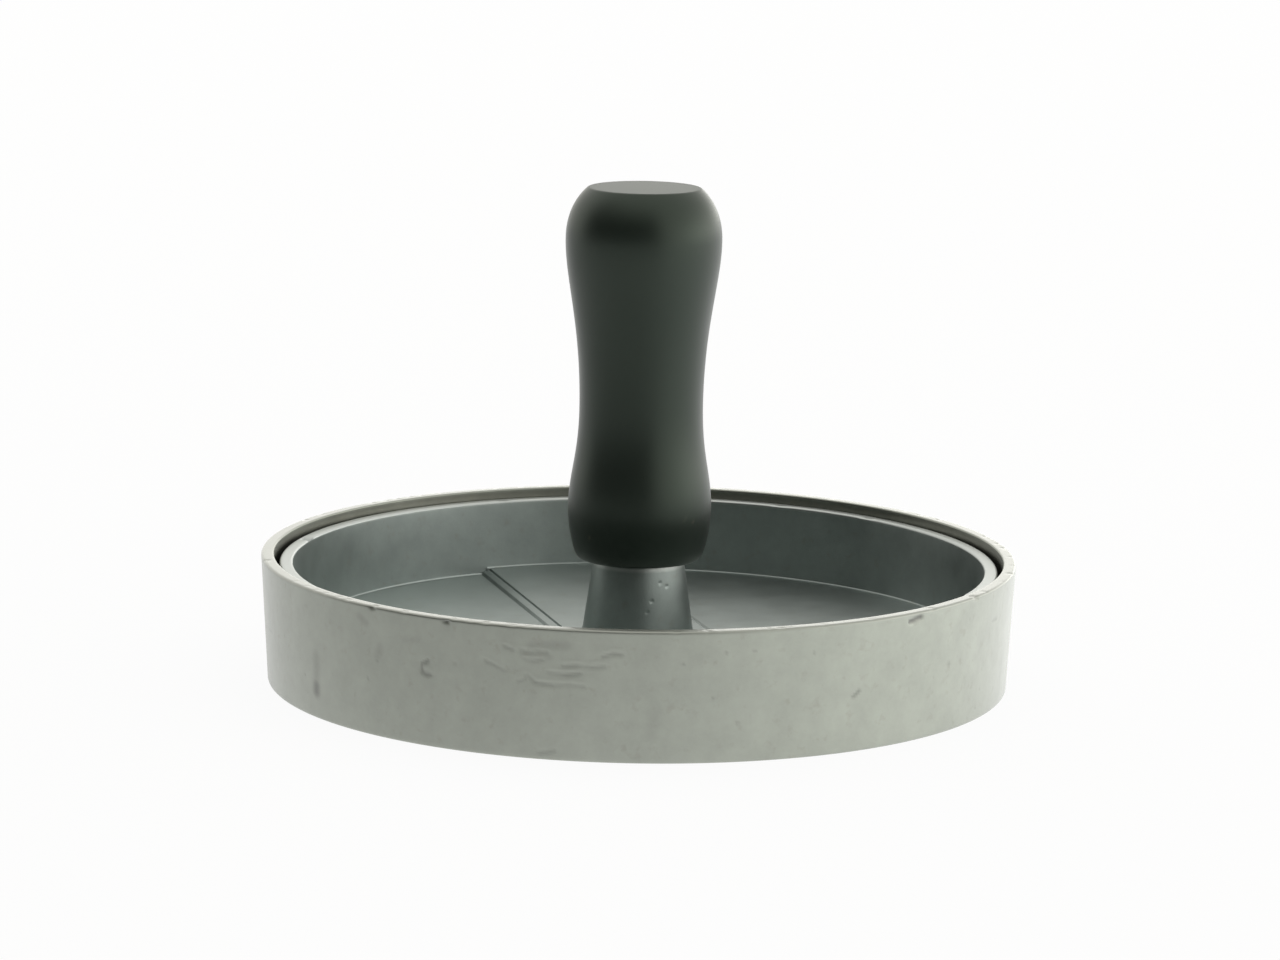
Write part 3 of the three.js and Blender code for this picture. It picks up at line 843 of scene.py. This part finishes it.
def cast_aluminium(name, dull, bright, worn, rough, film, rim):
    """A cast skin in two tones, with its roughness, its film's weight and its rim's height."""
    finish, tree = new_finish(name)
    place = add_node(tree, "ShaderNodeTexCoord").outputs["Object"]
    # Slow blotches, as the metal set at different speeds.
    blotches = add_node(tree, "ShaderNodeTexNoise", {
        "Vector": place, "Scale": per_mm(BLOTCH_MM), "Detail": 5.0, "Roughness": 0.65,
    })
    tone = add_node(tree, "ShaderNodeMapRange", {
        "Value": blotches.outputs["Fac"], "From Min": 0.32, "From Max": 0.68,
    })
    skin = add_node(tree, "ShaderNodeMix", {
        "Factor": tone.outputs["Result"], "A": linear(dull), "B": linear(bright),
    }, data_type="RGBA")
    # Yellowish stains a millimetre or two across, where oil has dried.
    spots = add_node(tree, "ShaderNodeTexNoise", {
        "Vector": place, "Scale": per_mm(STAIN_MM), "Detail": 3.0,
    })
    stain = add_node(tree, "ShaderNodeMapRange", {
        "Value": spots.outputs["Fac"], "From Min": 0.6, "From Max": 0.75, "To Max": 0.22,
    })
    stained = add_node(tree, "ShaderNodeMix", {
        "Factor": stain.outputs["Result"], "A": skin.outputs["Result"], "B": linear("#8A8776"),
    }, data_type="RGBA")
    # Dark dirt in the marks.
    dirt = add_node(tree, "ShaderNodeAttribute", attribute_name="grime")
    covered = add_node(tree, "ShaderNodeMath", {
        0: dirt.outputs["Fac"], 1: DIRT_COVER,
    }, operation="MULTIPLY")
    dirty = add_node(tree, "ShaderNodeMix", {
        "Factor": covered.outputs["Value"], "A": stained.outputs["Result"],
        "B": linear("#4A4A42"),
    }, data_type="RGBA")
    # Bare metal along the rim.
    height = add_node(tree, "ShaderNodeSeparateXYZ", {"Vector": place})
    wear = add_node(tree, "ShaderNodeMapRange", {
        "Value": height.outputs["Z"],
        "From Min": (rim - WEAR_REACH) * MM, "From Max": (rim - WEAR_FULL) * MM,
    })
    colour = add_node(tree, "ShaderNodeMix", {
        "Factor": wear.outputs["Result"], "A": dirty.outputs["Result"], "B": linear(worn),
    }, data_type="RGBA")
    dullness = add_node(tree, "ShaderNodeMapRange", {
        "Value": blotches.outputs["Fac"], "From Min": 0.3, "From Max": 0.7,
        "To Min": rough - 0.02, "To Max": rough + 0.02,
    })
    roughness = add_node(tree, "ShaderNodeMix", {
        "Factor": wear.outputs["Result"], "A": dullness.outputs["Result"],
        "B": min(rough, WORN_ROUGHNESS),
    })
    grain = add_node(tree, "ShaderNodeTexNoise", {
        "Vector": place, "Scale": per_mm(GRAIN_MM), "Detail": 3.0, "Roughness": 0.6,
    })
    bump = add_node(tree, "ShaderNodeBump", {
        "Height": grain.outputs["Fac"], "Strength": 0.3, "Distance": GRAIN_DEPTH * MM,
    })
    shader = add_node(tree, "ShaderNodeBsdfPrincipled", {
        "Base Color": colour.outputs["Result"], "Metallic": 1.0,
        "Roughness": roughness.outputs["Result"], "Normal": bump.outputs["Normal"],
        "Coat Weight": film, "Coat Roughness": 0.25, "Coat IOR": OXIDE_IOR,
    })
    add_node(tree, "ShaderNodeOutputMaterial", {"Surface": shader.outputs["BSDF"]})
    print(name, len(tree.nodes), "nodes")
    return finish


# A dull, grainy skin: to the eye the ring is an even pale grey, without a mirror image in it.
coat(ring, cast_aluminium(
    "tumbled_cast_aluminium", dull="#A4A99E", bright="#B0B5AA", worn="#94978F",
    rough=0.6, film=1.0, rim=RING_HEIGHT,
))
# A smoother skin: the pan is darker and cooler, and shows soft images of the room.
coat(presser, cast_aluminium(
    "smooth_cast_aluminium", dull="#949C9A", bright="#9EA6A4", worn="#BCC0BE",
    rough=0.38, film=0.0, rim=PRESSER_RIM,
))

# %% [markdown]
# The presser slides up and down in the ring and rubs the ring's inner faces smooth. A second
# finish goes on those faces alone: they are picked by the way they face and given the ring's
# second material slot. Its darker, warmer colour is painted shade of the narrow gap between the
# ring and the presser.

# %% Rubbed inside of the ring, with painted shade
# Rubbed smooth by use. The strip's darker, warmer grey is painted shade of the gap by the presser.
ring.data.materials.append(cast_aluminium(
    "rubbed_aluminium_with_painted_shade", dull="#7C7D75", bright="#878880", worn="#94978F",
    rough=0.34, film=0.0, rim=RING_HEIGHT,
))
take(ring)
bpy.ops.object.mode_set(mode="EDIT")
bpy.ops.mesh.select_mode(type="FACE")
bpy.ops.mesh.select_all(action="DESELECT")
bpy.ops.object.mode_set(mode="OBJECT")
for face in ring.data.polygons:
    outwards = face.normal.x * face.center.x + face.normal.y * face.center.y
    face.select = outwards < -0.5 * math.hypot(face.center.x, face.center.y)
bpy.ops.object.mode_set(mode="EDIT")
ring.active_material_index = 1
bpy.ops.object.material_slot_assign()
bpy.ops.mesh.select_mode(type="VERT")
bpy.ops.object.mode_set(mode="OBJECT")
print("rubbed faces:", sum(face.material_index for face in ring.data.polygons))

# %% [markdown]
# The handle is a black phenolic moulding, hot-pressed in a polished mould. It comes out satin,
# takes a slight haze from washing, and scuffs grey where it is knocked. Its flat top is a little
# duller, as if scraped. The Principled shader does all this without metal: a near-black colour, a
# slightly greenish gloss, and a roughness that changes with the haze and on the top.

# %% Black moulding of the handle
HAZE_MM = 9
# The mould's polishing marks are far finer. They are drawn coarser, and only just break up the
# gloss.
POLISH_MM = 0.5
POLISH_DEPTH = 0.02
SCRAPED_ROUGHNESS = 0.42
SCRAPED_FROM, SCRAPED_FULL = 0.2, 0.02
SCUFF_COVER = 0.5
PHENOLIC_IOR = 1.58

# Deep black with a satin gloss: the eye sees it by its broad grey edges and one dark patch.
finish, tree = new_finish("black_phenolic_moulding")
place = add_node(tree, "ShaderNodeTexCoord").outputs["Object"]
haze = add_node(tree, "ShaderNodeTexNoise", {
    "Vector": place, "Scale": per_mm(HAZE_MM), "Detail": 4.0,
})
skin = add_node(tree, "ShaderNodeMix", {
    "Factor": haze.outputs["Fac"], "A": linear("#121815"), "B": linear("#171E1A"),
}, data_type="RGBA")
scuff = add_node(tree, "ShaderNodeAttribute", attribute_name="grime")
scuffed = add_node(tree, "ShaderNodeMath", {
    0: scuff.outputs["Fac"], 1: SCUFF_COVER,
}, operation="MULTIPLY")
colour = add_node(tree, "ShaderNodeMix", {
    "Factor": scuffed.outputs["Value"], "A": skin.outputs["Result"], "B": linear("#6E6658"),
}, data_type="RGBA")
gloss = add_node(tree, "ShaderNodeMapRange", {
    "Value": haze.outputs["Fac"], "From Min": 0.3, "From Max": 0.7,
    "To Min": 0.35, "To Max": 0.39,
})
height = add_node(tree, "ShaderNodeSeparateXYZ", {"Vector": place})
scraped = add_node(tree, "ShaderNodeMapRange", {
    "Value": height.outputs["Z"],
    "From Min": (top_height - SCRAPED_FROM) * MM, "From Max": (top_height - SCRAPED_FULL) * MM,
})
roughness = add_node(tree, "ShaderNodeMix", {
    "Factor": scraped.outputs["Result"], "A": gloss.outputs["Result"], "B": SCRAPED_ROUGHNESS,
})
grain = add_node(tree, "ShaderNodeTexNoise", {
    "Vector": place, "Scale": per_mm(POLISH_MM), "Detail": 2.0,
})
bump = add_node(tree, "ShaderNodeBump", {
    "Height": grain.outputs["Fac"], "Strength": 0.1, "Distance": POLISH_DEPTH * MM,
})
shader = add_node(tree, "ShaderNodeBsdfPrincipled", {
    "Base Color": colour.outputs["Result"], "Roughness": roughness.outputs["Result"],
    "IOR": PHENOLIC_IOR, "Specular Tint": linear("#ECFFED"), "Normal": bump.outputs["Normal"],
})
add_node(tree, "ShaderNodeOutputMaterial", {"Surface": shader.outputs["BSDF"]})
coat(handle, finish)
print(finish.name, len(tree.nodes), "nodes")

# %% [markdown]
# The stud, the washer and the brass insert show only when the handle is unscrewed. Each is a plain
# metal, and noise varies its roughness a little, as plating, oil and turning do. The insert keeps
# its CAD shape, because it sits deep inside the handle's pocket.

# %% Metals of the screwed joint
ROUGHNESS_SWING = 0.1


def plain_metal(name, colour, rough, streak_mm):
    finish, tree = new_finish(name)
    place = add_node(tree, "ShaderNodeTexCoord").outputs["Object"]
    streaks = add_node(tree, "ShaderNodeTexNoise", {
        "Vector": place, "Scale": per_mm(streak_mm), "Detail": 3.0,
    })
    sheen = add_node(tree, "ShaderNodeMapRange", {
        "Value": streaks.outputs["Fac"],
        "To Min": rough - ROUGHNESS_SWING, "To Max": rough + ROUGHNESS_SWING,
    })
    shader = add_node(tree, "ShaderNodeBsdfPrincipled", {
        "Base Color": linear(colour), "Metallic": 1.0, "Roughness": sheen.outputs["Result"],
    })
    add_node(tree, "ShaderNodeOutputMaterial", {"Surface": shader.outputs["BSDF"]})
    print(name, len(tree.nodes), "nodes")
    return finish


# Bright bluish white, like any plated screw.
coat(stud, plain_metal("zinc_plated_steel", "#C9CCD0", rough=0.3, streak_mm=0.8))
# Dark grey with an oily shine.
coat(washer, plain_metal("oiled_spring_steel", "#8A8C8E", rough=0.35, streak_mm=0.8))
# Yellow, with a clean turned shine.
insert = frame["nodes"]["thread_insert"]
coat(insert, plain_metal("turned_brass", "#D9B968", rough=0.3, streak_mm=0.6))

# %% [markdown]
# ## Camera
# The camera stands well back and looks slightly down, so that the ring's ellipses stay flat. Its
# distance, height and lens come from the ring's rim and foot and the presser's rim, which are
# circles of known size. It could be aimed with a Track To constraint, but plain angles keep the
# small roll of a hand-held camera as well.

# %% Camera
IMAGE_WIDTH = 1280
FOCAL_PIXELS = 4713.7
SENSOR_WIDTH = 36
AZIMUTH = math.radians(-16)
DISTANCE = 737
EYE_HEIGHT = 166.4
VIEW_DROP = math.radians(10.34)
ROLL = math.radians(0.95)
NEAR_CLIP = 50
camera = bpy.data.objects.new("camera", bpy.data.cameras.new("camera"))
bpy.context.scene.collection.objects.link(camera)
bpy.context.scene.camera = camera
camera.data.sensor_width = SENSOR_WIDTH
camera.data.lens = FOCAL_PIXELS * SENSOR_WIDTH / IMAGE_WIDTH
camera.data.clip_start = NEAR_CLIP * MM
stand = Vector((DISTANCE * math.sin(AZIMUTH), -DISTANCE * math.cos(AZIMUTH), EYE_HEIGHT))
camera.location = stand * MM
aim = Matrix.Rotation(AZIMUTH, 4, "Z") @ Matrix.Rotation(math.pi / 2 - VIEW_DROP, 4, "X")
camera.rotation_euler = (aim @ Matrix.Rotation(ROLL, 4, "Z")).to_euler()
print("camera at", [round(x) for x in stand], "mm, lens", round(camera.data.lens, 1), "mm")

# %% [markdown]
# ## Light
# The press is shown in a plain white room. Lamps would put hard highlights on the metal, so the
# world itself gives a soft light. Two soft glows, one at the side and one behind, stand for
# windows: metal shows what is round it, and without them it would look flat. The camera sees plain
# white everywhere.

# %% White room
# Each window has its angle from the camera, positive to the right, its gain and its tightness.
WINDOWS = [(95, 1.7, 4), (162, 1.9, 8)]
FLATTEN = 2.2
camera_side = AZIMUTH - math.pi / 2


def bearing(turned):
    """The direction on the table of an angle in degrees, counted from the camera's side."""
    angle = camera_side + math.radians(turned)
    return Vector((math.cos(angle), math.sin(angle), 0))


bpy.context.scene.view_settings.view_transform = "Standard"
world = bpy.data.worlds.new("white_room")
bpy.context.scene.world = world
world.use_nodes = True
tree = world.node_tree
tree.nodes.clear()
direction = add_node(tree, "ShaderNodeTexCoord").outputs["Generated"]
stretched = add_node(tree, "ShaderNodeVectorMath", {
    0: direction, 1: (1, 1, FLATTEN),
}, operation="MULTIPLY")
low = add_node(tree, "ShaderNodeVectorMath", {
    0: stretched.outputs["Vector"],
}, operation="NORMALIZE")
glow = 0.0
for turned, gain, tightness in WINDOWS:
    facing = add_node(tree, "ShaderNodeVectorMath", {
        0: low.outputs["Vector"], 1: bearing(turned),
    }, operation="DOT_PRODUCT")
    ahead = add_node(tree, "ShaderNodeMath", {
        0: facing.outputs["Value"], 1: 0.0,
    }, operation="MAXIMUM")
    lobe = add_node(tree, "ShaderNodeMath", {
        0: ahead.outputs["Value"], 1: tightness,
    }, operation="POWER")
    brighter = add_node(tree, "ShaderNodeMath", {
        0: lobe.outputs["Value"], 1: gain, 2: glow,
    }, operation="MULTIPLY_ADD")
    glow = brighter.outputs["Value"]
path = add_node(tree, "ShaderNodeLightPath")
unseen = add_node(tree, "ShaderNodeMath", {
    0: 1.0, 1: path.outputs["Is Camera Ray"],
}, operation="SUBTRACT")
level = add_node(tree, "ShaderNodeMath", {
    0: glow, 1: unseen.outputs["Value"], 2: 1.0,
}, operation="MULTIPLY_ADD")
walls = add_node(tree, "ShaderNodeBackground", {
    "Color": linear("#FFFEF8"), "Strength": level.outputs["Value"],
})
add_node(tree, "ShaderNodeOutputWorld", {"Surface": walls.outputs["Background"]})
print("white room with", len(WINDOWS), "windows,", len(tree.nodes), "nodes")

# %% [markdown]
# The press stands on a white table. For the camera, and for the metal that mirrors it, the table
# shines white by itself, so that the ground stays white without more light on the press. A small
# share of it is plain paint, which keeps the soft shadow at the ring's foot. The ring's wall
# mirrors the table, so the mirrored white is graded a little, from dim at the front left to bright
# at the back right.

# %% Table
TABLE_RADIUS = 3000
TABLE_DROP = 0.02
SHINING_SHARE = 0.93
BRIGHT_SIDE = 122
DIM_AT, DIM_LEVEL = -90, 0.75
BRIGHT_AT, BRIGHT_LEVEL = 90, 1.25
deselect_all()
bpy.ops.mesh.primitive_circle_add(
    vertices=96, radius=TABLE_RADIUS * MM, fill_type="NGON", location=(0, 0, -TABLE_DROP * MM)
)
table = bpy.context.object
table.name = "table"
bpy.ops.object.transform_apply(location=True, rotation=True, scale=True)
# Chalk white and without gloss: it shows nothing but the press's shadow.
finish, tree = new_finish("white_painted_table")
path = add_node(tree, "ShaderNodeLightPath")
seen = add_node(tree, "ShaderNodeMath", {
    0: path.outputs["Is Camera Ray"], 1: path.outputs["Is Glossy Ray"],
}, operation="MAXIMUM")
seen = add_node(tree, "ShaderNodeMath", {
    0: seen.outputs["Value"], 1: path.outputs["Is Transmission Ray"],
}, operation="MAXIMUM")
share = add_node(tree, "ShaderNodeMath", {
    0: seen.outputs["Value"], 1: SHINING_SHARE,
}, operation="MULTIPLY")
paint = add_node(tree, "ShaderNodeBsdfDiffuse", {"Color": linear("#F3F3F3")})
place = add_node(tree, "ShaderNodeTexCoord").outputs["Object"]
along = add_node(tree, "ShaderNodeVectorMath", {
    0: place, 1: bearing(BRIGHT_SIDE),
}, operation="DOT_PRODUCT")
graded = add_node(tree, "ShaderNodeMapRange", {
    "Value": along.outputs["Value"], "From Min": DIM_AT * MM, "From Max": BRIGHT_AT * MM,
    "To Min": DIM_LEVEL, "To Max": BRIGHT_LEVEL,
})
level = add_node(tree, "ShaderNodeMix", {
    "Factor": path.outputs["Is Camera Ray"], "A": graded.outputs["Result"], "B": 1.0,
})
white = add_node(tree, "ShaderNodeEmission", {
    "Color": linear("#FFFFFF"), "Strength": level.outputs["Result"],
})
top_side = add_node(tree, "ShaderNodeMixShader", {
    "Fac": share.outputs["Value"], 1: paint.outputs["BSDF"], 2: white.outputs["Emission"],
})
# From below the table is clear, so that the underside of the press can be looked at.
side = add_node(tree, "ShaderNodeNewGeometry")
clear = add_node(tree, "ShaderNodeBsdfTransparent")
both = add_node(tree, "ShaderNodeMixShader", {
    "Fac": side.outputs["Backfacing"], 1: top_side.outputs["Shader"], 2: clear.outputs["BSDF"],
})
add_node(tree, "ShaderNodeOutputMaterial", {"Surface": both.outputs["Shader"]})
coat(table, finish)
print("table", [round(x) for x in table.dimensions], "m,", len(tree.nodes), "nodes")

# %% [markdown]
# A white room on all sides would leave the handle grey and the pan flat. A studio answers with a
# black card beside the camera: what mirrors the card goes dark, and the rounding of each piece
# shows. The card is a curved wall to the left of the camera, hidden from it. Its edge fades out,
# by a number on each vertex, so that no hard line shows on the metal.

# %% Dark card
CARD_RADIUS = 1200
CARD_LEFT = -110
CARD_RIGHT = 34
CARD_TOP = 66
SIDE_FADE = 20
TOP_FADE = 38
CARD_ROWS = 12
CARD_STEPS = 60
card_width = CARD_RIGHT - CARD_LEFT
rises = [math.radians(CARD_TOP * i / CARD_ROWS) for i in range(CARD_ROWS + 1)]
card = trace("dark_card", [(CARD_RADIUS, CARD_RADIUS * math.tan(rise)) for rise in rises])
bpy.ops.object.mode_set(mode="OBJECT")
apply_modifier(
    card, "SCREW", angle=math.radians(card_width), screw_offset=0,
    steps=CARD_STEPS, render_steps=CARD_STEPS,
)
# On a radius of one radian's degrees, a mm of arc is a degree.
degrees, _ = unrolled(card, math.degrees(1))
turned = degrees[:, 0]
risen = np.degrees(np.arctan2(degrees[:, 1], CARD_RADIUS))
from_side = np.minimum(turned, card_width - turned)
covered = np.clip(from_side / SIDE_FADE, 0, 1) * np.clip((CARD_TOP - risen) / TOP_FADE, 0, 1)
cover = card.data.attributes.new("cover", "FLOAT", "POINT")
cover.data.foreach_set("value", covered.astype(np.float32))
take(card)
card.rotation_euler.z = camera_side + math.radians(CARD_LEFT)
bpy.ops.object.transform_apply(location=True, rotation=True, scale=True)
card.visible_camera = False
# Felt swallows the light: only its dark image in the metal is seen.
finish, tree = new_finish("black_felt")
cover = add_node(tree, "ShaderNodeAttribute", attribute_name="cover")
felt = add_node(tree, "ShaderNodeBsdfDiffuse", {"Color": linear("#303030")})
clear = add_node(tree, "ShaderNodeBsdfTransparent")
card_skin = add_node(tree, "ShaderNodeMixShader", {
    "Fac": cover.outputs["Fac"], 1: clear.outputs["BSDF"], 2: felt.outputs["BSDF"],
})
add_node(tree, "ShaderNodeOutputMaterial", {"Surface": card_skin.outputs["Shader"]})
coat(card, finish)
print("dark card", turned.max().round(), "degrees wide,", risen.max().round(), "degrees high")
